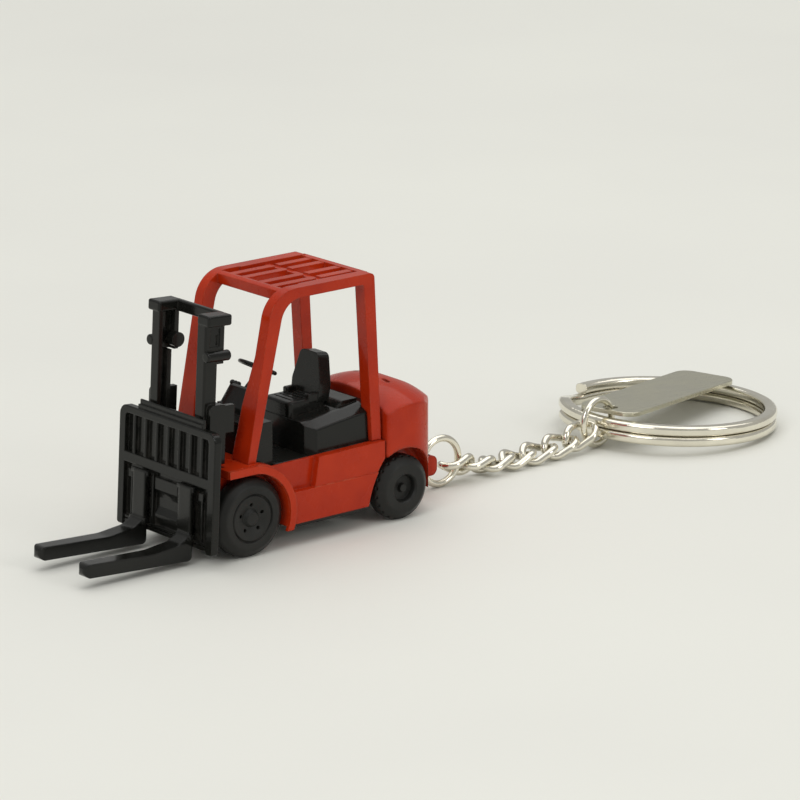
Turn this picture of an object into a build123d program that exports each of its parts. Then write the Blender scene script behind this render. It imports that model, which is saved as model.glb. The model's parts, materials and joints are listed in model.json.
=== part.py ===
from build123d import *

import math
import os

# Die-cast miniature forklift on a key chain: truck, mast, sliding forks, curb chain, split ring, tag.
# Millimetres. The origin is on the ground, on the truck's centre plane, under the front axle.
# +Z is up, the forks point along -Y and +X is the truck's left-hand side.

os.makedirs("parts", exist_ok=True)

# ---- driving dimensions: truck ----
wheelbase = 24.7
body_half_width = 8.45
wheel_face_x = 8.5
front_tyre_radius = 5.1
front_tyre_width = 2.75
rear_tyre_radius = 4.25
rear_tyre_width = 3.0
axle_radius = 0.75
axle_half_length = 7.4
running_clearance = 0.08
front_well_radius = 5.75
rear_well_radius = 5.4
front_tunnel_x = 5.4
rear_tunnel_x = 5.2
fender_radius = 6.8
fender_lip_x = 8.8
sill_z = 3.04
deck_z = 10.5
platform_z = 11.9
nose_y = -3.8
tray_half_width = 7.0
skin_offset = 0.04
hood_top = 16.0
hood_rise = 6.5
hood_front_y = 10.4
hood_rear_y = 19.9
cowl_top = 16.4
dash_half_width = 2.0
wheel_centre = (0, 7.55, 21.6)
wheel_rake = 27.0
column_length = 5.9
seat_half_width = 2.6
seat_front_y = 10.45
seat_bottom = 14.6
seat_top = 16.9
seat_back_top = 22.3
seam_y = 21.5
counterweight_front_y = 21.85
counterweight_rear_y = 31.45
counterweight_top = 17.5
counterweight_arch_y = 25.5
counterweight_arch_radius = 10.0
counterweight_arch_drop = 2.5
counterweight_corner_reach = 26.35
baseplate_z = 2.2
screw_places = (9.4, 16.4)
screw_radius = 0.5
screw_top = 6.0
lug_end_y = 36.3
lug_hole_y = 34.75
lug_hole_radius = 0.95

# ---- overhead guard ----
roof_z = 33.2
roof_under_z = 31.9
guard_half_width = 7.57
slot_widths = (1.3, 1.3, 2.2, 1.3, 1.3)
slat_width = 1.15

# ---- mast, carriage and forks, drawn upright and then leaned back ----
mast_tilt = 3.3
mast_pivot_y = -5.0
mast_top = 31.3
mast_foot = 2.2
rail_step_z = 25.0
rail_back_y = -3.4
rail_outer_x = 5.5
rail_inner_x = 3.9
rail_front_y = -6.45
rail_rear_y = -4.4
rail_wall = 0.6
slide_gap = 0.15
backrest_front_y = -7.75
backrest_rear_y = -6.75
back_wall = 0.35
backrest_half_width = 9.85
backrest_top = 17.3
backrest_bottom = 1.8
stile_width = 1.25
band_top = 11.35
band_bottom = 10.1
grille_pitch = 2.3
fork_centre_x = 4.7
fork_width = 2.4
fork_tip_half_width = 0.95
fork_tip_y = -23.8
shank_depth = 0.55
blade_top = 2.1
blade_bottom = 0.35

# ---- chain, rings and tag ----
ring_wire = 0.95
small_ring_radius = 3.08
lug_ring_y = 37.75
key_ring_x = -0.5
key_ring_y = 66.1
key_ring_yaw = 10
link_wire = 1.0
link_half_length = 2.6
link_half_width = 1.85
link_twist = 41
link_corner_radius = 1.6
link_overlap = 1.53
chain_start = (0.18, 38.03, 2.92)
link_turns = (
    (3, -9, -36),
    (0, -11, -22),
    (3, -3, -8),
    (1, 1, 6),
    (-3, 4, 18),
    (-2, 6, 33),
    (0, 18, 52),
)
split_ring_outer = 15.0
split_ring_inner = 13.2
coil_height = 1.37
coil_gap = 0.06
coil_edge_radius = 0.5
ramp_angle = 40
split_ring_place = Pos(-1.94, 80.4, 0.81) * Rot(-3, 0, 0) * Rot(0, 0, -165)
tag_length = 28.0
tag_width = 9.0
tag_thickness = 0.6
tag_corner_radius = 2.0
tag_hole_radius = 1.0
tag_hole_inset = 1.6
tag_place = Pos(-1.0, 68.9, 4.45) * Rot(0, 0, 15.5) * Rot(-2.8, 0, 0)


# ---- helpers ----
def rounded(face, points, rounds):
    """Round some corners of a flat outline; rounds holds (corner index, radius) pairs."""
    for index, radius in rounds:
        corner = face.vertices().sort_by_distance(Vector(*points[index]))[0]
        face = fillet(corner, radius)
    return face


def side_prism(points, x0, x1, rounds=()):
    """A YZ outline extruded from x0 to x1."""
    face = rounded(Polygon(*points, align=None), points, rounds)
    return Pos(x0, 0, 0) * extrude(Plane.YZ * face, amount=x1 - x0, dir=(1, 0, 0))


def front_prism(points, y0, y1, rounds=()):
    """An XZ outline extruded from y0 to y1."""
    face = rounded(Polygon(*points, align=None), points, rounds)
    return Pos(0, y0, 0) * extrude(Plane.XZ * face, amount=y1 - y0, dir=(0, 1, 0))


def plan_prism(points, z0, z1, rounds=()):
    """An XY outline extruded from z0 to z1."""
    face = rounded(Polygon(*points, align=None), points, rounds)
    return Pos(0, 0, z0) * extrude(face, amount=z1 - z0, dir=(0, 0, 1))


def block(x0, x1, y0, y1, z0, z1):
    centre = Pos((x0 + x1) / 2, (y0 + y1) / 2, (z0 + z1) / 2)
    return centre * Box(x1 - x0, y1 - y0, z1 - z0)


def rod_x(x0, x1, y, z, radius):
    return Pos((x0 + x1) / 2, y, z) * Rot(0, 90, 0) * Cylinder(radius, x1 - x0)


def rod_y(x, y0, y1, z, radius):
    return Pos(x, (y0 + y1) / 2, z) * Rot(90, 0, 0) * Cylinder(radius, y1 - y0)


def rod_z(x, y, z0, z1, radius):
    return Pos(x, y, (z0 + z1) / 2) * Cylinder(radius, z1 - z0)


def both_sides(shape):
    return shape + mirror(shape, about=Plane.YZ)


def tilted(shape):
    """Lean a mast part back about the foot of the mast."""
    return Pos(0, mast_pivot_y, 0) * Rot(-mast_tilt, 0, 0) * Pos(0, -mast_pivot_y, 0) * shape


# ---- body ----
def body_side_face():
    """Side outline of the body: nose, fender, waist, rear arch, sill and front wheel well."""
    axle_z = front_tyre_radius
    well_foot = (math.sqrt(front_well_radius**2 - (axle_z - sill_z) ** 2), sill_z)
    well_mid = (front_well_radius * math.cos(0.7), axle_z + front_well_radius * math.sin(0.7))
    well_top = (0, axle_z + front_well_radius)
    nose_top = (nose_y, platform_z)
    nose_under = (nose_y, well_top[1])
    fender_start = (1.3, platform_z)
    waist_front = (4.0, 10.9)
    waist_rear = (seam_y, 11.2)
    arch_top = (seam_y, 8.85)
    arch_foot = (18.7, sill_z)
    edges = [
        Line(nose_top, fender_start),
        ThreePointArc(fender_start, (2.9, 11.45), waist_front),
        Line(waist_front, waist_rear),
        Line(waist_rear, arch_top),
        ThreePointArc(arch_top, (19.75, 6.2), arch_foot),
        Line(arch_foot, well_foot),
        ThreePointArc(well_foot, well_mid, well_top),
        Line(well_top, nose_under),
        Line(nose_under, nose_top),
    ]
    return make_face(Curve() + edges)


def fender_lips():
    """Raised rims round the front wheel arches."""
    axle_z = front_tyre_radius
    root_x = body_half_width - 0.1
    well = front_well_radius + skin_offset
    lip = rod_x(root_x, fender_lip_x, 0, axle_z, fender_radius - skin_offset)
    lip -= block(7, 10, -10, 0, 0, 20)
    shelf_z = platform_z - skin_offset
    lip += block(root_x, fender_lip_x, nose_y + skin_offset, 0.02, axle_z + well, shelf_z)
    lip -= rod_x(7, 10, 0, axle_z, well)
    lip -= block(7, 10, -10, 10, -5, 2.5)
    return both_sides(lip)


def make_body_shell():
    outline = Plane.YZ * body_side_face()
    shell = Pos(-body_half_width, 0, 0) * extrude(outline, 2 * body_half_width, dir=(1, 0, 0))
    shell += block(-front_tunnel_x, front_tunnel_x, -2.9, 7.0, sill_z, 10.9)
    shell += block(-rear_tunnel_x, rear_tunnel_x, 18.0, seam_y, sill_z, 9.5)
    # room for the mast, tray for the cab pieces, and the cavity under the deck
    shell -= block(-6.5, 6.5, -5.0, -2.9, 0, 14)
    shell -= block(-tray_half_width, tray_half_width, 1.4, seam_y + 1, deck_z, 14.0)
    shell -= block(-4.2, 4.2, -1.9, 20.5, 2.0, 9.3)
    shell -= block(-7.2, 7.2, 8.2, 17.6, 2.0, 9.3)
    shell -= rod_x(-10, 10, 0, front_tyre_radius, axle_radius + running_clearance)
    # step recess with a slanted rear edge, and the waist crease
    recess_outline = [(3.0, 12.0), (10.75, 12.0), (10.7, 10.5), (10.1, 7.2), (5.0, 7.2)]
    recess = side_prism(recess_outline, 7.35, 10.0)
    recess -= rod_x(7.0, 11.0, 0, front_tyre_radius, fender_radius)
    shell -= both_sides(recess)
    shell -= both_sides(block(8.3, 10.0, 10.1, 22.0, 7.25, 12.0))
    shell += fender_lips()
    for y in screw_places:
        shell += rod_z(0, y, sill_z, 9.4, 1.3)
        shell -= rod_z(0, y, 0, screw_top, screw_radius)
    return shell


def tail_roll(reach, turn):
    """Half-space whose top rolls over towards a wall that stands at reach, turned about Z."""
    wall_top = (reach, 12.6)
    roll_mid = (reach - 0.75, 15.1)
    roll_end = (reach - 2.7, 16.7)
    ramp_end = (reach - 9.0, 19.6)
    floor_z = -5
    far_y = -10
    edges = [
        Line((far_y, floor_z), (reach, floor_z)),
        Line((reach, floor_z), wall_top),
        ThreePointArc(wall_top, roll_mid, roll_end),
        Line(roll_end, ramp_end),
        Line(ramp_end, (far_y, ramp_end[1])),
        Line((far_y, ramp_end[1]), (far_y, floor_z)),
    ]
    prism = extrude(Plane.YZ * make_face(Curve() + edges), 80, dir=(1, 0, 0))
    return Rot(0, 0, turn) * Pos(-40, 0, 0) * prism


def make_counterweight():
    """Cast tail block: barrel-shaped top, rounded rear corners, tow lug for the key chain."""
    front_y = counterweight_front_y
    half = body_half_width
    plan = [(-half, front_y), (half, front_y), (half, 30.0)]
    plan += [(4.0, counterweight_rear_y), (-4.0, counterweight_rear_y), (-half, 30.0)]
    rounds = [(2, 5.5), (5, 5.5), (3, 4.0), (4, 4.0), (0, 0.4), (1, 0.4)]
    # the top is a shallow arch across the truck, turned about a low cross axis
    axis_z = counterweight_top - counterweight_arch_radius
    side_z = counterweight_top - counterweight_arch_drop
    wide = half + 0.5
    arch = [
        Line((-wide, axis_z), (wide, axis_z)),
        Line((wide, axis_z), (wide, side_z)),
        ThreePointArc((wide, side_z), (0, counterweight_top), (-wide, side_z)),
        Line((-wide, side_z), (-wide, axis_z)),
    ]
    arch_face = Pos(0, counterweight_arch_y, 0) * (Plane.XZ * make_face(Curve() + arch))
    cross_axis = Axis((0, counterweight_arch_y, axis_z), (1, 0, 0))
    barrel = revolve(arch_face, cross_axis, 360) + block(-wide, wide, 15, 40, -5, axis_z)
    mass = plan_prism(plan, sill_z, 18.5, rounds) & barrel
    mass &= tail_roll(counterweight_rear_y + 0.02, 0)
    for turn in (-45, 45):
        mass &= tail_roll(counterweight_corner_reach, turn)
    axle_z = rear_tyre_radius
    mass -= both_sides(rod_x(rear_tunnel_x, 12.0, wheelbase, axle_z, rear_well_radius))
    mass -= block(-3.6, 3.6, 20, 29.0, 2.0, 9.3)
    mass -= rod_x(-12, 12, wheelbase, axle_z, axle_radius + running_clearance)
    for x in (-3.05, 3.05):
        mass -= Pos(x, 26.0, 16.6) * extrude(SlotOverall(1.3, 0.6), amount=3.0)
    # drawbar lug with an upright hole for the jump ring
    lug = block(-1.1, 1.1, counterweight_rear_y - 1.0, lug_end_y, 2.25, 4.95)
    lug = fillet(lug.edges().filter_by(Axis.X).group_by(Axis.Y)[-1], 0.9)
    return mass + lug - rod_z(0, lug_hole_y, 0, 8, lug_hole_radius)


def make_baseplate():
    plate = block(-7.2, 7.2, 7.3, 18.4, baseplate_z, sill_z)
    plate += block(-5.3, 5.3, -2.7, 8.0, baseplate_z, sill_z)
    plate += block(-5.1, 5.1, 18.0, 29.6, baseplate_z, sill_z)
    for y in screw_places:
        plate -= rod_z(0, y, 0, 5, screw_radius)
        plate -= rod_z(0, y, 0, baseplate_z + 0.45, 2 * screw_radius)
    # saddles that keep the axles seated
    for y, axle_z in ((0, front_tyre_radius), (wheelbase, rear_tyre_radius)):
        saddle = block(-2.2, 2.2, y - 1.2, y + 1.2, sill_z, axle_z)
        plate += saddle - rod_x(-3, 3, y, axle_z, axle_radius + running_clearance)
    return plate


def make_base_screw(y):
    head = rod_z(0, y, baseplate_z, baseplate_z + 0.45, 1.9 * screw_radius)
    head -= block(-1, 1, y - 0.1, y + 0.1, 0, baseplate_z + 0.2)
    return head + rod_z(0, y, baseplate_z + 0.2, screw_top, screw_radius)


# ---- overhead guard ----
def guard_side_outline():
    """Front pillar, curved shoulder, roof rail and rear post of one side."""
    return [
        (-0.02, platform_z),
        (4.25, roof_z),
        (20.4, roof_z),
        (21.45, 11.25),
        (19.95, 11.25),
        (18.75, roof_under_z),
        (6.09, roof_under_z),
        (1.2, platform_z),
    ]


def pillar_flare():
    """The front pillars get wider towards the foot, on their inner side."""
    return [(0, 0), (4.25, 0), (4.25, platform_z), (4.75, 18.8), (5.85, 25.0), (6.0, 34), (0, 34)]


def make_overhead_guard():
    rounds = [(1, 4.2), (2, 0.7), (5, 0.4), (6, 3.2)]
    side = side_prism(guard_side_outline(), 4.0, guard_half_width, rounds)
    side -= front_prism(pillar_flare(), -2, 9.5)
    side -= block(0, 5.72, 9.4, 25, 0, 40)
    side += block(5.75, 6.95, 20.02, 21.4, deck_z, 11.5)
    guard = both_sides(side)
    roof = block(-6.6, 6.6, 6.0, 20.3, 32.2, 33.05)
    roof += block(-6.3, 6.3, 6.0, 6.95, 31.6, 33.0)
    roof += block(-6.3, 6.3, 19.3, 20.3, roof_under_z, 33.1)
    x = -(sum(slot_widths) + slat_width * (len(slot_widths) - 1)) / 2
    for width in slot_widths:
        roof -= block(x, x + width, 6.95, 13.3, 30, 34)
        roof -= block(x, x + width, 14.15, 19.4, 30, 34)
        x += width + slat_width
    roof -= block(-6.0, 6.0, 13.3, 14.15, 32.85, 34)
    # the rounded roof front must not stand ahead of the curved shoulders
    shoulder = side_prism(guard_side_outline(), -8, 8, [(1, 4.2)])
    return guard + (roof & (shoulder + block(-8, 8, 5.9, 21, 31, 32.7)))


# ---- cab pieces ----
def make_engine_cover():
    """Hood under the seat: its top rises gently towards the counterweight."""
    section = [(-7.0, 8.0), (-6.95, 15.1), (-4.9, hood_top)]
    section += [(-x, z) for x, z in reversed(section)]
    cover = front_prism(section, 8.0, 23.0, [(1, 0.35), (2, 2.0), (3, 2.0), (4, 0.35)])
    hinge_line = Pos(0, hood_rear_y, hood_top)
    cover = hinge_line * Rot(hood_rise, 0, 0) * Pos(0, -hood_rear_y, -hood_top) * cover
    cover &= block(-8, 8, hood_front_y, hood_rear_y, deck_z, 17)
    for sign in (-1, 1):
        corner = [(sign * 5.6, hood_front_y - 0.1), (sign * 7.2, hood_front_y - 0.1), (sign * 7.2, 11.75)]
        cover -= plan_prism(corner, deck_z - 1, 18)
    # raised apron round the back of the seat
    apron = [(15.4, 14.9), (17.4, 16.35), (hood_rear_y, 16.35), (hood_rear_y, 14.9)]
    cover += side_prism(apron, -4.6, 4.6, [(1, 0.8)])
    cover += block(-5.55, 5.55, hood_rear_y - 0.2, 21.75, deck_z, 15.6)
    # clearance for the guard's leaning rear posts
    post_gap = [(19.88, 10.0), (19.46, 17.0), (21.9, 17.0), (21.9, 10.0)]
    cover -= both_sides(side_prism(post_gap, 5.65, 8.0))
    # foot lip along the sides
    return cover - both_sides(block(6.86, 7.2, 11.9, 19.6, 11.1, 11.3))


def dash_hump():
    """Raised dash with a raked front, in front of the steering wheel."""
    outline = [(3.3, 16.2), (3.4, 17.1), (4.75, 19.4), (5.5, 19.5), (6.0, 16.2)]
    return side_prism(outline, -dash_half_width, dash_half_width, [(1, 0.4), (2, 0.35), (3, 0.3)])


def make_cowl():
    cowl = block(-6.4, 6.4, 1.5, 4.8, deck_z, 16.0)
    cowl += block(-6.6, 6.4, 1.1, 4.8, 16.0, cowl_top)
    cowl += dash_hump()
    # notches that let the guard's front pillars pass
    notch = [(-1, 11.5), (1.2, 11.5), (2.5, 16.8), (-1, 16.8)]
    return cowl - both_sides(side_prism(notch, 4.15, 8))


def make_floor_plate():
    plate = block(-6.9, 6.9, 4.8, 10.3, deck_z + 0.02, 10.95)
    return chamfer(plate.edges().group_by(Axis.Z)[-1], 0.12)


def make_seat():
    """Cushion and leaning back in one moulding, its underside cut to the slope of the hood."""
    half = seat_half_width
    rear_y = 16.6
    cushion = block(-half, half, seat_front_y, rear_y, seat_bottom, seat_top)
    cushion = fillet(cushion.edges().filter_by(Axis.Z), 0.7)
    cushion = fillet(cushion.edges().group_by(Axis.Z)[-1], 0.4)
    for y in (11.6, 12.5, 13.4, 14.3):
        cushion -= block(-1.8, 1.8, y - 0.14, y + 0.14, seat_top - 0.2, seat_top + 0.2)
    back_outline = [(-2.7, 16.2), (-2.8, 18.4), (-1.7, seat_back_top)]
    back_outline += [(-x, z) for x, z in reversed(back_outline)]
    back = front_prism(back_outline, 15.0, 16.8, [(2, 0.9), (3, 0.9), (1, 1.6), (4, 1.6)])
    back = Pos(0, 15.6, 16.2) * Rot(-9, 0, 0) * Pos(0, -15.6, -16.2) * back
    seat = cushion + back
    seat += both_sides(fillet(block(1.7, 2.65, 13.6, 16.0, 16.2, 17.5).edges(), 0.25))
    return seat - make_engine_cover()


def on_column(shape):
    """Place a piece drawn about the Z axis, with the steering wheel's centre as its origin."""
    return Pos(*wheel_centre) * Rot(-wheel_rake, 0, 0) * shape


def make_steering_column():
    hub_base = -0.18
    shaft = Pos(0, 0, hub_base - column_length / 2) * Cylinder(0.32, column_length)
    boot = Pos(0, 0, hub_base - column_length + 3.6) * Cone(0.75, 0.4, 1.2)
    return on_column(shaft + boot) - block(-2, 2, 2, 8, 12, cowl_top) - dash_hump()


def make_steering_wheel():
    rim_radius = 2.35
    wheel = Torus(rim_radius, 0.26)
    for angle in (30, 150, 270):
        spoke = Pos(rim_radius / 2, 0, 0) * Box(rim_radius, 0.38, 0.3)
        wheel += Rot(0, 0, angle) * spoke
    return on_column(wheel + Pos(0, 0, 0.1) * Cylinder(0.6, 0.56))


def make_control_levers():
    """Three stalks on one base beside the dash, leaning towards the driver."""
    base_z = cowl_top + 0.5
    lean = 38
    levers = block(-3.9, -2.15, 4.1, 4.8, cowl_top, base_z)
    for x in (-3.6, -3.0, -2.4):
        stalk = Pos(0, 0, 1.4) * Cylinder(0.17, 3.0) + Pos(0, 0, 3.0) * Sphere(0.36)
        levers += Pos(x, 4.5, base_z - 0.2) * Rot(-lean, 0, 0) * stalk
    return levers


# ---- wheels ----
def wheel_from(points, rounds, axle_y, axle_z, left):
    """Turn an (x, radius) outline about the X axis and set it on its axle."""
    face = rounded(Polygon(*points, align=None), points, rounds)
    wheel = revolve(face, axis=Axis.X)
    if not left:
        wheel = mirror(wheel, about=Plane.YZ)
    return Pos(0, axle_y, axle_z) * wheel


def make_front_wheel(left):
    radius = front_tyre_radius
    face_x = wheel_face_x
    inner_x = face_x - front_tyre_width
    points = [
        (inner_x, axle_radius),
        (inner_x, 4.4),
        (inner_x + 0.5, radius),
        (face_x - 0.7, radius),
        (face_x, 4.1),
        (face_x - 0.05, 3.2),
        (face_x - 0.35, 3.05),
        (face_x - 0.12, 2.85),
        (face_x - 0.2, 2.35),
        (face_x - 0.5, 1.2),
        (face_x - 0.1, 0.85),
        (face_x - 0.1, 0.0),
        (axle_half_length, 0.0),
        (axle_half_length, axle_radius),
    ]
    wheel = wheel_from(points, [(2, 0.6), (3, 0.7), (4, 0.6)], 0, radius, left)
    side = 1 if left else -1
    for k in range(5):
        angle = math.radians(72 * k + 18)
        y = 1.75 * math.cos(angle)
        z = radius + 1.75 * math.sin(angle)
        outer = side * (face_x + 0.2)
        inner = side * (face_x - 0.9)
        wheel -= rod_x(min(outer, inner), max(outer, inner), y, z, 0.24)
    return wheel


def make_rear_wheel(left):
    radius = rear_tyre_radius
    face_x = wheel_face_x
    inner_x = face_x - rear_tyre_width
    points = [
        (inner_x, axle_radius),
        (inner_x, 3.6),
        (inner_x + 0.6, radius),
        (face_x - 0.9, radius),
        (face_x, 3.2),
        (face_x, 1.95),
        (face_x - 0.25, 1.75),
        (face_x - 0.95, 1.6),
        (face_x - 0.95, 0.6),
        (face_x - 0.4, 0.5),
        (face_x - 0.4, 0.0),
        (axle_half_length, 0.0),
        (axle_half_length, axle_radius),
    ]
    wheel = wheel_from(points, [(2, 0.5), (3, 0.6), (4, 0.6)], wheelbase, radius, left)
    lug_count = 22
    side = 1 if left else -1
    for k in range(lug_count):
        notch = Pos(side * (face_x - 0.45), 0, radius + 0.02) * Box(1.1, 0.42, 0.5)
        wheel -= Pos(0, wheelbase, radius) * Rot(360 * k / lug_count, 0, 0) * notch
    return wheel


def make_axle(y, z):
    return rod_x(-axle_half_length, axle_half_length, y, z, axle_radius)


# ---- mast ----
def channel(z0, z1, rear_y):
    """Length of rail, open towards the centre, with a front and a rear flange."""
    inner, outer = rail_inner_x, rail_outer_x
    bar = block(inner, outer, rail_front_y, rear_y, z0, z1)
    bar = fillet(bar.edges().filter_by(Axis.Z).group_by(Axis.X)[-1], 0.25)
    return bar - block(inner - 1, outer - rail_wall, rail_front_y + rail_wall, rear_y - rail_wall, 0, z1)


def mast_rail():
    """One rail: its upper end is deeper and carries a cap, an outer roll and an inner boss."""
    outer = rail_outer_x
    rail = channel(mast_foot, rail_step_z, rail_rear_y)
    rail += channel(rail_step_z, mast_top - 0.7, rail_back_y)
    cap = block(rail_inner_x - 0.05, 6.25, -6.6, -2.9, mast_top - 1.4, mast_top)
    rail += fillet(cap.edges(), 0.3)
    roll = rod_y(5.75, -6.55, -2.95, 26.1, 0.68)
    rail += fillet(roll.edges(), 0.22)
    rail += rod_x(3.2, 4.7, -3.9, 26.3, 0.95)
    # panel with an upright groove between cap and roll
    rail -= block(outer - 0.15, outer + 0.5, -5.7, -4.2, 27.2, 29.5)
    rail -= block(outer - 0.3, outer + 0.5, -4.75, -4.45, 27.4, 28.7)
    side = block(outer - 0.1, 6.3, -5.9, -3.4, 12.4, 20.0)
    rail += fillet(side.edges().filter_by(Axis.X).group_by(Axis.Z)[-1], 0.6)
    rail += block(outer, 6.3, -3.6, -2.1, 16.3, 19.8)
    return rail


def make_mast_frame():
    mast = both_sides(mast_rail())
    bar = block(-4.5, 4.5, -3.7, -2.9, mast_top - 1.5, mast_top)
    mast += fillet(bar.edges().filter_by(Axis.X), 0.25)
    mast += block(-5.2, 5.2, rail_rear_y, -3.9, 5.0, 9.0)
    foot = block(-3.2, 3.2, -4.1, -2.9, 5.4, 8.6)
    return tilted(mast) + foot


def make_fork_carriage():
    """Guide plate behind the backrest, with a tongue in each rail's channel."""
    tongue_x = rail_outer_x - rail_wall - slide_gap
    tongue_front = rail_front_y + rail_wall + slide_gap
    tongue_rear = rail_rear_y - rail_wall - slide_gap
    guide = block(-3.6, 3.6, backrest_rear_y, tongue_rear, 3.6, 9.8)
    guide += block(-tongue_x, tongue_x, tongue_front, tongue_rear, 3.6, 9.8)
    return tilted(guide)


def make_load_backrest():
    """Barred frame with a solid back: the bars, band and centre plate stand up from the back wall."""
    half = backrest_half_width
    inner = half - stile_width
    front, rear = backrest_front_y, backrest_rear_y
    wall_y = rear - back_wall
    outline = [(-half, backrest_bottom), (-half, backrest_top), (half, backrest_top)]
    outline += [(half, backrest_bottom)]
    frame = front_prism(outline, front, rear, [(1, 1.3), (2, 1.3), (0, 0.4), (3, 0.4)])
    frame = chamfer(frame.edges().group_by(Axis.Y)[0], 0.12)
    window = [(-inner, band_top), (-inner, 16.4), (inner, 16.4), (inner, band_top)]
    frame -= front_prism(window, front - 1, wall_y, [(1, 0.6), (2, 0.6)])
    frame -= block(-inner, inner, front - 1, wall_y, 3.1, band_bottom)
    frame -= block(-inner, inner, front - 1, front + 0.2, 0, 3.2)
    frame -= block(-inner, inner, front - 1, wall_y, 2.62, 2.78)
    frame -= block(-inner, inner, front - 1, rear + 1, 0, 2.2)
    for k in range(-3, 4):
        x = k * grille_pitch
        bar = block(x - 0.26, x + 0.26, front + 0.1, wall_y + 0.1, 11.0, 16.6)
        frame += fillet(bar.edges().filter_by(Axis.Z).group_by(Axis.Y)[0], 0.18)
        claw = [(x - 0.6, band_top - 0.3), (x + 0.1, band_top - 0.3), (x + 0.1, band_top + 0.7)]
        frame += front_prism(claw, front + 0.25, wall_y)
    # centre plate: a band above a hollow, ribs beside it
    frame += block(-2.3, 2.3, front + 0.2, wall_y, 7.8, 9.3)
    hollow = front_prism([(-2.3, 4.2), (-2.3, 7.9), (2.3, 7.9), (2.3, 4.2)], front + 0.3, wall_y)
    scoop = rod_x(-3, 3, front - 2.6, 6.2, 3.3)
    frame += hollow - scoop
    for x in (-2.75, 2.75):
        frame += block(x - 0.22, x + 0.22, front + 0.1, wall_y, 3.1, 9.7)
    for x in (-7.2, 7.2):
        frame += block(x - 0.15, x + 0.15, front + 0.25, wall_y, 3.1, 8.6)
        frame += block(x - 0.5, x + 0.4, front + 0.1, wall_y, 8.3, 9.3)
    # rear lip under the top bar
    lip = block(-6.5, 6.5, rear - 0.3, rear + 0.05, 16.9, 18.4)
    frame += fillet(lip.edges().filter_by(Axis.X).group_by(Axis.Z)[-1], 0.12)
    frame += block(-6.5, 6.5, rear - 0.6, rear, 16.9, 17.8)
    return tilted(frame)


def make_fork(side):
    """Shank and forward blade in one thick bar, with a hook cap and a heel strap."""
    rear = backrest_front_y
    front = rear - shank_depth
    outline = [
        (rear, 9.8),
        (front, 9.8),
        (front, 3.7),
        (-9.8, 2.7),
        (-13.5, blade_top),
        (fork_tip_y, blade_top),
        (fork_tip_y, blade_bottom),
        (rear, blade_bottom + 0.1),
    ]
    fork = side_prism(outline, -2.0, 2.0, [(2, 0.8), (3, 2.0), (4, 5.0), (5, 0.7), (6, 0.8), (7, 0.6)])
    half = fork_width / 2
    tip = fork_tip_half_width
    plan = [(-half, rear), (half, rear), (half, -13.0), (tip, fork_tip_y), (-tip, fork_tip_y)]
    plan += [(-half, -13.0)]
    fork &= plan_prism(plan, -1, 11, [(3, 0.75), (4, 0.75), (2, 6.0), (5, 6.0)])
    fork += block(-1.8, 1.5, rear - 0.4, rear, 9.2, 9.85)
    fork += block(-1.6, 1.6, rear - shank_depth - 0.15, rear, 3.2, 3.8)
    return tilted(Pos(side * fork_centre_x, 0, 0) * fork)


# ---- chain, rings and tag ----
def small_ring(x, y, yaw):
    """A round wire ring standing on edge; yaw turns it about the vertical."""
    ring_z = small_ring_radius + ring_wire / 2
    return Pos(x, y, ring_z) * Rot(0, 0, yaw) * Rot(0, 90, 0) * Torus(small_ring_radius, ring_wire / 2)


def curb_link():
    """One oblong wire link about the origin, long axis on Y, its two ends twisted opposite ways."""
    twist = math.radians(link_twist)
    x = link_half_width * math.cos(twist)
    z = link_half_width * math.sin(twist)
    y = link_half_length
    corners = [(x, y, z), (-x, y, -z), (-x, -y, z), (x, -y, -z)]
    path = FilletPolyline(*corners, radius=link_corner_radius, close=True)
    link = Part()
    for edge in path.edges():
        section = Plane(origin=edge @ 0, z_dir=edge % 0) * Circle(link_wire / 2)
        link += sweep(section, path=edge)
    return link


def chain_placements():
    """Centre and turn of every link, each starting inside the end of the one before."""
    placements = []
    near = Vector(*chain_start)
    axis = Vector(0, 1, 0)
    for yaw, pitch, roll in link_turns:
        turn = Rot(0, 0, yaw) * Rot(pitch, 0, 0) * Rot(0, roll, 0)
        previous_axis = axis
        axis = (turn * Pos(0, 1, 0)).position
        if placements:
            near = far - (axis + previous_axis).normalized() * link_overlap
        centre = near + axis * link_half_length
        far = centre + axis * link_half_length
        placements.append(Pos(*centre) * turn)
    return placements


def make_split_ring():
    """Flat wire wound into two touching coils, joined by one ramp; the wire ends face the ramp."""
    mid_radius = (split_ring_outer + split_ring_inner) / 2
    wire_width = split_ring_outer - split_ring_inner
    pitch = coil_height + coil_gap

    def section(angle, z):
        outward = Vector(math.cos(math.radians(angle)), math.sin(math.radians(angle)), 0)
        along = Vector(-outward.Y, outward.X, 0)
        plane = Plane(origin=outward * mid_radius + Vector(0, 0, z), x_dir=outward, z_dir=along)
        return plane * RectangleRounded(wire_width, coil_height, coil_edge_radius)

    steps = 6
    sections = []
    for k in range(steps + 1):
        share = k / steps
        rise = pitch * share * share * (3 - 2 * share)
        sections.append(section(ramp_angle * share, coil_height / 2 + rise).face())
    ring = loft(sections)
    flat_turn = 360 - ramp_angle
    ring += revolve(section(ramp_angle, coil_height / 2), Axis.Z, flat_turn)
    ring += revolve(section(ramp_angle, coil_height / 2 + pitch), Axis.Z, flat_turn)
    return split_ring_place * ring


def make_tag():
    """Blank key tag with one hole, lying on the split ring."""
    plate = extrude(RectangleRounded(tag_width, tag_length, tag_corner_radius), tag_thickness)
    plate -= Pos(0, tag_hole_inset - tag_length / 2, 0) * Cylinder(tag_hole_radius, 4)
    edges = plate.edges().group_by(Axis.Z)[-1]
    plate = chamfer(edges, 0.08)
    return tag_place * Pos(0, tag_length / 2 - tag_hole_inset, 0) * plate


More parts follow.
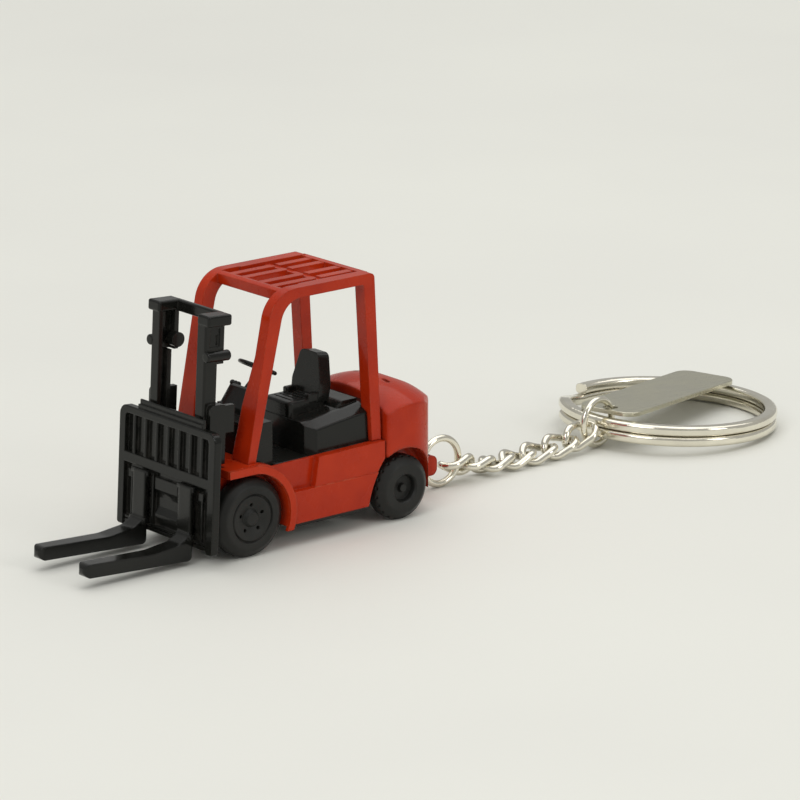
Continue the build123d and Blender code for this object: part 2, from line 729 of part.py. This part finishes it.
def export_all():
    nodes = {
        "body_shell": make_body_shell(),
        "counterweight": make_counterweight(),
        "baseplate": make_baseplate(),
        "base_screw_front": make_base_screw(screw_places[0]),
        "base_screw_rear": make_base_screw(screw_places[1]),
        "overhead_guard": make_overhead_guard(),
        "engine_cover": make_engine_cover(),
        "cowl": make_cowl(),
        "floor_plate": make_floor_plate(),
        "seat": make_seat(),
        "steering_column": make_steering_column(),
        "steering_wheel": make_steering_wheel(),
        "control_levers": make_control_levers(),
        "front_axle": make_axle(0, front_tyre_radius),
        "rear_axle": make_axle(wheelbase, rear_tyre_radius),
        "front_wheel_left": make_front_wheel(True),
        "front_wheel_right": make_front_wheel(False),
        "rear_wheel_left": make_rear_wheel(True),
        "rear_wheel_right": make_rear_wheel(False),
        "mast_frame": make_mast_frame(),
        "fork_carriage": make_fork_carriage(),
        "load_backrest": make_load_backrest(),
        "fork_left": make_fork(1),
        "fork_right": make_fork(-1),
    }
    nodes["lug_ring"] = small_ring(0, lug_ring_y, 0)
    for number, place in enumerate(chain_placements(), start=1):
        nodes[f"chain_link_{number}"] = place * curb_link()
    nodes["key_jump_ring"] = small_ring(key_ring_x, key_ring_y, key_ring_yaw)
    nodes["split_ring"] = make_split_ring()
    nodes["tag"] = make_tag()
    for name, shape in nodes.items():
        export_step(shape, f"parts/{name}.step")


export_all()
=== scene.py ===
import json
import math

import bpy
from mathutils import Matrix, Vector

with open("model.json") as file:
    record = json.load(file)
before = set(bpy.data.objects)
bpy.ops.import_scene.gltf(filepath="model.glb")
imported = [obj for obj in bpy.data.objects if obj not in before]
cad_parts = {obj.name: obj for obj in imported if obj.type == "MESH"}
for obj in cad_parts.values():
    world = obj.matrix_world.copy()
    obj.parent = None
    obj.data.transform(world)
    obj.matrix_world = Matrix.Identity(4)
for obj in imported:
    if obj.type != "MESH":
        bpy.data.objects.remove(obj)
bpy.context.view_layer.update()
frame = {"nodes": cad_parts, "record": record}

scene = bpy.context.scene
nodes = frame["nodes"]

# ---- colours, linear; each finish has its main tone and a second one ----
RED = (0.47, 0.030, 0.004)
RED_DEEP = (0.37, 0.019, 0.003)
RED_WORN = (0.62, 0.16, 0.08)
BLACK_GLOSS = (0.0062, 0.0066, 0.0056)
BLACK_WARM = (0.0098, 0.0098, 0.0082)
BLACK_WORN = (0.030, 0.030, 0.026)
CAB_WORN = (0.032, 0.032, 0.028)
WHEEL_BLACK = (0.0080, 0.0083, 0.0072)
WHEEL_SCUFF = (0.016, 0.0158, 0.0140)
BASE_SCUFF = (0.03, 0.03, 0.027)
NICKEL = (0.86, 0.82, 0.70)
NICKEL_DARK = (0.55, 0.52, 0.45)
TAG_METAL = (0.56, 0.54, 0.42)
TAG_DARK = (0.50, 0.485, 0.42)
STEEL = (0.56, 0.56, 0.54)
STEEL_DARK = (0.33, 0.33, 0.31)
DUST = (0.33, 0.30, 0.26)
FLOOR = (0.81, 0.81, 0.755)
FLOOR_SHADE = (0.775, 0.772, 0.725)

# ---- radius that each finish rounds its edges by in the shading, in metres ----
SPRAYED_EDGE = 0.00022
CAST_EDGE = 0.0007
FORK_EDGE = 0.00045
CAB_EDGE = 0.0002
MOULDED_EDGE = 0.00018
PLATED_EDGE = 0.00012
TAG_EDGE = 0.00008
WORN_EDGE = 0.00016

# ---- depth of the fine relief, in metres ----
SINK_DEPTH = 0.00012
PEEL_DEPTH = 0.00001
WAVE_DEPTH = 0.00008
GRAIN_DEPTH = 0.000008
PLATED_WAVE_DEPTH = 0.00006
HAIRLINE_DEPTH = 0.000006
PAPER_DEPTH = 0.00001

# ---- reflection strength ----
RED_SHINE = 0.11
BLACK_SHINE = 0.16
FORK_SHINE = 0.2
MOULDED_SHINE = 0.3
PAPER_SHINE = 0.25
ENAMEL_COAT = 0.2
ENAMEL_COAT_ROUGHNESS = 0.07

# ---- camera, fitted to the photo ----
CAMERA_PLACE = (0.42777, -0.32738, 0.16887)
CAMERA_DEGREES = (50.05, 15.60, 0.055)
LENS_MM = 201.35
SENSOR_MM = 36.0

# ---- lamps: name, place, aimed at, size, watts, colour ----
WHITE = (1.0, 1.0, 1.0)
SOFTBOXES = (
    ("top_box", (-0.15, 0.30, 1.45), (0.0, 0.03, 0.0), (2.1, 2.1), 15.6, (1.0, 0.998, 0.985)),
    ("front_box", (0.35, -0.95, 0.65), (0.0, 0.0, 0.01), (0.45, 0.30), 1.6, WHITE),
    ("strip", (0.20, -0.55, 0.62), (0.0, 0.0, 0.01), (0.40, 0.035), 0.55, WHITE),
    ("side_box", (0.95, 0.35, 0.50), (0.0, 0.03, 0.01), (0.30, 0.45), 1.5, (1.0, 0.995, 0.98)),
)
SKY_COLOUR = (1.0, 1.0, 0.97, 1.0)
SKY_STRENGTH = 0.44


class Shader:
    """A Principled material with small helpers for wiring procedural detail."""

    def __init__(self, name):
        self.material = bpy.data.materials.new(name)
        self.material.use_nodes = True
        self.tree = self.material.node_tree
        self.tree.nodes.clear()
        self.out = self.add("ShaderNodeOutputMaterial")
        self.bsdf = self.add("ShaderNodeBsdfPrincipled")
        self.link(self.bsdf.outputs["BSDF"], self.out.inputs["Surface"])
        self.coords = self.add("ShaderNodeTexCoord").outputs["Object"]

    def add(self, kind, **settings):
        node = self.tree.nodes.new(kind)
        for key, value in settings.items():
            setattr(node, key, value)
        return node

    def link(self, a, b):
        self.tree.links.new(a, b)

    def put(self, socket, value):
        if isinstance(value, bpy.types.NodeSocket):
            self.link(value, socket)
        else:
            socket.default_value = value

    def set(self, **inputs):
        for key, value in inputs.items():
            name = key.replace("_", " ")
            self.put(self.bsdf.inputs[name], value)

    def stretched(self, scale):
        mapping = self.add("ShaderNodeMapping")
        self.link(self.coords, mapping.inputs["Vector"])
        mapping.inputs["Scale"].default_value = scale
        return mapping.outputs["Vector"]

    def noise(self, scale, detail=4.0, rough=0.55, vector=None, distortion=0.0):
        node = self.add("ShaderNodeTexNoise")
        self.link(vector or self.coords, node.inputs["Vector"])
        node.inputs["Scale"].default_value = scale
        node.inputs["Detail"].default_value = detail
        node.inputs["Roughness"].default_value = rough
        node.inputs["Distortion"].default_value = distortion
        return node.outputs["Fac"]

    def ramp(self, value, low, high, to_low=0.0, to_high=1.0):
        node = self.add("ShaderNodeMapRange", clamp=True)
        self.link(value, node.inputs["Value"])
        node.inputs["From Min"].default_value = low
        node.inputs["From Max"].default_value = high
        node.inputs["To Min"].default_value = to_low
        node.inputs["To Max"].default_value = to_high
        return node.outputs["Result"]

    def math(self, operation, a, b=0.0):
        node = self.add("ShaderNodeMath", operation=operation, use_clamp=True)
        self.put(node.inputs[0], a)
        self.put(node.inputs[1], b)
        return node.outputs["Value"]

    def mix(self, factor, a, b):
        node = self.add("ShaderNodeMix", data_type="RGBA")
        self.put(node.inputs["Factor"], factor)
        for socket, value in ((node.inputs["A"], a), (node.inputs["B"], b)):
            if not isinstance(value, bpy.types.NodeSocket) and len(value) == 3:
                value = (*value, 1.0)
            self.put(socket, value)
        return node.outputs["Result"]

    def soft_normal(self, radius):
        node = self.add("ShaderNodeBevel", samples=6)
        node.inputs["Radius"].default_value = radius
        return node.outputs["Normal"]

    def edge_mask(self, radius):
        """1 along edges, where the rounded normal leaves the face's own, and 0 on open faces."""
        bevel = self.soft_normal(radius)
        geometry = self.add("ShaderNodeNewGeometry")
        dot = self.add("ShaderNodeVectorMath", operation="DOT_PRODUCT")
        self.link(bevel, dot.inputs[0])
        self.link(geometry.outputs["Normal"], dot.inputs[1])
        return self.ramp(dot.outputs["Value"], 0.995, 0.85)

    def crevice(self, distance):
        """1 in corners that hold shade and dust, 0 in the open."""
        node = self.add("ShaderNodeAmbientOcclusion", samples=6)
        node.inputs["Distance"].default_value = distance
        return self.ramp(node.outputs["AO"], 0.75, 0.2)

    def bump(self, height, distance, strength=1.0, normal=None):
        node = self.add("ShaderNodeBump")
        node.inputs["Strength"].default_value = strength
        node.inputs["Distance"].default_value = distance
        self.link(height, node.inputs["Height"])
        if normal is not None:
            self.link(normal, node.inputs["Normal"])
        return node.outputs["Normal"]


def enamel(name, colour, deep, edge, roughness, radius, shine):
    """Sprayed gloss enamel on die-cast metal: orange peel, sink marks, thin edges, a little dust."""
    s = Shader(name)
    blotch = s.ramp(s.noise(140, 3), 0.35, 0.7)
    colour = s.mix(blotch, colour, deep)
    speck = s.ramp(s.noise(2600, 2, 0.7), 0.70, 0.78, 0.0, 0.35)
    colour = s.mix(speck, colour, deep)
    worn = s.math("MULTIPLY", s.edge_mask(WORN_EDGE), s.ramp(s.noise(420, 5, 0.65), 0.48, 0.66))
    colour = s.mix(s.math("MULTIPLY", worn, 0.55), colour, edge)
    dust = s.math("MULTIPLY", s.crevice(0.0012), s.ramp(s.noise(700, 4), 0.4, 0.7, 0.0, 0.16))
    colour = s.mix(dust, colour, DUST)
    rough = s.ramp(s.noise(260, 4, 0.6), 0.3, 0.75, roughness * 0.8, roughness * 1.45)
    sink = s.bump(s.noise(170, 2, 0.4), SINK_DEPTH, 0.35, s.soft_normal(radius))
    skin = s.bump(s.noise(1500, 2, 0.5), PEEL_DEPTH, 0.55, sink)
    s.set(Base_Color=colour, Roughness=rough, Normal=skin, Specular_IOR_Level=shine)
    s.set(Coat_Weight=ENAMEL_COAT, Coat_Roughness=ENAMEL_COAT_ROUGHNESS, Coat_IOR=1.5)
    return s.material


def moulded(name, colour, light, roughness):
    """Matte moulded black: a fine grain, scuffs along one way and pale dust in the corners."""
    s = Shader(name)
    colour = s.mix(s.ramp(s.noise(190, 4), 0.35, 0.7), colour, light)
    scuff = s.ramp(s.noise(900, 3, 0.7, s.stretched((1.0, 0.35, 1.0))), 0.62, 0.74, 0.0, 0.25)
    colour = s.mix(scuff, colour, light)
    dust = s.math("MULTIPLY", s.crevice(0.0010), s.ramp(s.noise(800, 4), 0.42, 0.7, 0.0, 0.12))
    colour = s.mix(dust, colour, DUST)
    rough = s.ramp(s.noise(330, 4), 0.3, 0.75, roughness * 0.82, roughness * 1.15)
    wave = s.bump(s.noise(260, 2), WAVE_DEPTH, 0.3, s.soft_normal(MOULDED_EDGE))
    grain = s.bump(s.noise(5200, 3, 0.6), GRAIN_DEPTH, 0.5, wave)
    s.set(Base_Color=colour, Roughness=rough, Normal=grain, Specular_IOR_Level=MOULDED_SHINE)
    return s.material


def plated(name, light, dark, roughness, brushed=(1.0, 0.12, 1.0), radius=PLATED_EDGE):
    """Bare or plated metal: cloudy tone, fine hairlines, pits, and painted shade that darkens the
    corners.
    """
    s = Shader(name)
    cloud = s.ramp(s.noise(210, 4, 0.6), 0.35, 0.72)
    colour = s.mix(s.math("MULTIPLY", cloud, 0.45), light, dark)
    # painted shade: the occluded corners are mixed towards the dark tone
    painted_corner_shade = s.math("MULTIPLY", s.crevice(0.0011), 0.55)
    colour = s.mix(painted_corner_shade, colour, dark)
    pits = s.ramp(s.noise(3300, 2, 0.7), 0.71, 0.77, 0.0, 0.35)
    colour = s.mix(pits, colour, dark)
    hairline = s.noise(2400, 3, 0.7, s.stretched(brushed), 0.3)
    rough = s.ramp(hairline, 0.3, 0.75, roughness * 0.75, roughness * 1.5)
    wave = s.bump(s.noise(330, 2), PLATED_WAVE_DEPTH, 0.35, s.soft_normal(radius))
    lines = s.bump(hairline, HAIRLINE_DEPTH, 0.6, wave)
    s.set(Base_Color=colour, Metallic=1.0, Roughness=rough, Normal=lines)
    return s.material


steel = plated("steel", STEEL, STEEL_DARK, 0.28)
MATERIALS = {
    "body_paint": enamel("red_enamel", RED, RED_DEEP, RED_WORN, 0.24, SPRAYED_EDGE, RED_SHINE),
    "frame_paint": enamel(
        "black_enamel", BLACK_GLOSS, BLACK_WARM, BLACK_WORN, 0.20, SPRAYED_EDGE, BLACK_SHINE
    ),
    "cab_plastic": enamel(
        "cab_black", BLACK_GLOSS, BLACK_WARM, CAB_WORN, 0.26, CAB_EDGE, BLACK_SHINE
    ),
    "wheel_black": moulded("wheel_black", WHEEL_BLACK, WHEEL_SCUFF, 0.48),
    "base_grey": moulded("base_black", BLACK_WARM, BASE_SCUFF, 0.55),
    "steel_axle": steel,
    "screw_steel": steel,
    "nickel": plated("nickel", NICKEL, NICKEL_DARK, 0.14),
    "tag_metal": plated("tag_metal", TAG_METAL, TAG_DARK, 0.30, (6.0, 0.05, 1.0), TAG_EDGE),
}
# The cast block's edges and the forks' are rounder in the photo than those of the other painted parts.
cast_red = enamel("red_enamel_cast", RED, RED_DEEP, RED_WORN, 0.24, CAST_EDGE, RED_SHINE)
fork_black = enamel(
    "fork_enamel", BLACK_GLOSS, BLACK_WARM, BLACK_WORN, 0.18, FORK_EDGE, FORK_SHINE
)
OWN_MATERIALS = {"counterweight": cast_red, "fork_left": fork_black, "fork_right": fork_black}
slot_of = {part["node"]: part["material_slot"] for part in frame["record"]["subparts"]}
for name, node in nodes.items():
    for slot in node.material_slots:
        slot.material = OWN_MATERIALS.get(name, MATERIALS[slot_of[name]])

# ---- floor ----
bpy.ops.mesh.primitive_plane_add(size=6.0, location=(0, 0, 0))
floor = bpy.context.object
floor.name = "floor"
paper = Shader("floor_paper")
tone = paper.mix(paper.ramp(paper.noise(9, 3), 0.3, 0.7), FLOOR, FLOOR_SHADE)
paper.set(Base_Color=tone, Roughness=paper.ramp(paper.noise(900, 3), 0.3, 0.7, 0.55, 0.7))
fibre = paper.bump(paper.noise(1400, 3), PAPER_DEPTH, 0.3)
paper.set(Normal=fibre, Specular_IOR_Level=PAPER_SHINE)
floor.data.materials.append(paper.material)

# ---- camera ----
azimuth, elevation, roll = (math.radians(angle) for angle in CAMERA_DEGREES)
right = Vector((math.cos(azimuth), math.sin(azimuth), 0.0))
back = Vector((
    math.sin(azimuth) * math.cos(elevation),
    -math.cos(azimuth) * math.cos(elevation),
    math.sin(elevation),
))
up = back.cross(right)
rolled_right = right * math.cos(roll) - up * math.sin(roll)
rolled_up = right * math.sin(roll) + up * math.cos(roll)
camera_data = bpy.data.cameras.new("camera")
camera_data.sensor_width = SENSOR_MM
camera_data.lens = LENS_MM
camera_data.clip_start = 0.01
camera = bpy.data.objects.new("camera", camera_data)
turn = Matrix((rolled_right, rolled_up, back)).transposed().to_4x4()
camera.matrix_world = Matrix.Translation(CAMERA_PLACE) @ turn
scene.collection.objects.link(camera)
scene.camera = camera


# ---- light ----
def softbox(name, place, aim, size, power, colour):
    data = bpy.data.lights.new(name, "AREA")
    data.shape = "RECTANGLE"
    data.size, data.size_y = size
    data.energy = power
    data.color = colour
    light = bpy.data.objects.new(name, data)
    light.location = place
    direction = Vector(aim) - Vector(place)
    light.rotation_euler = direction.to_track_quat("-Z", "Y").to_euler()
    scene.collection.objects.link(light)


for lamp in SOFTBOXES:
    softbox(*lamp)

world = bpy.data.worlds.new("studio")
scene.world = world
world.use_nodes = True
background = world.node_tree.nodes["Background"]
background.inputs["Color"].default_value = SKY_COLOUR
background.inputs["Strength"].default_value = SKY_STRENGTH
scene.view_settings.view_transform = "Standard"
